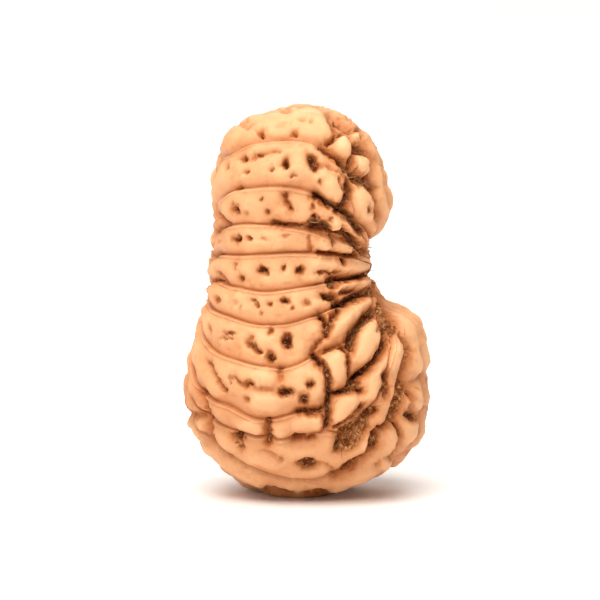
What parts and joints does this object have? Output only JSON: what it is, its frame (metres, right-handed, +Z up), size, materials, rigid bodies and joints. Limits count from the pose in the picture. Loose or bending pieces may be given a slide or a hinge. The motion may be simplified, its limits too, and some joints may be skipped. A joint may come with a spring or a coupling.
{
  "type": "nineteen mukhi rudraksha",
  "caption": "Seed stone of the rudraksha fruit, with swollen pitted bands between fine seams that meet at a mouth in its side notch. Stands on its broad lobe.",
  "frame": {"origin": "middle of the bounding box at the level of the flat spot that the stone stands on", "axes": "+Z up along the stone's length, the pictured front faces -Y, the side notch and its mouth face +X"},
  "size_m": [0.021, 0.0188, 0.0335],
  "materials": {
    "stone": "waxy, softly polished"
  },
  "bodies": {
    "root": {"seed_stone": "stone"}
  },
  "joints": []
}
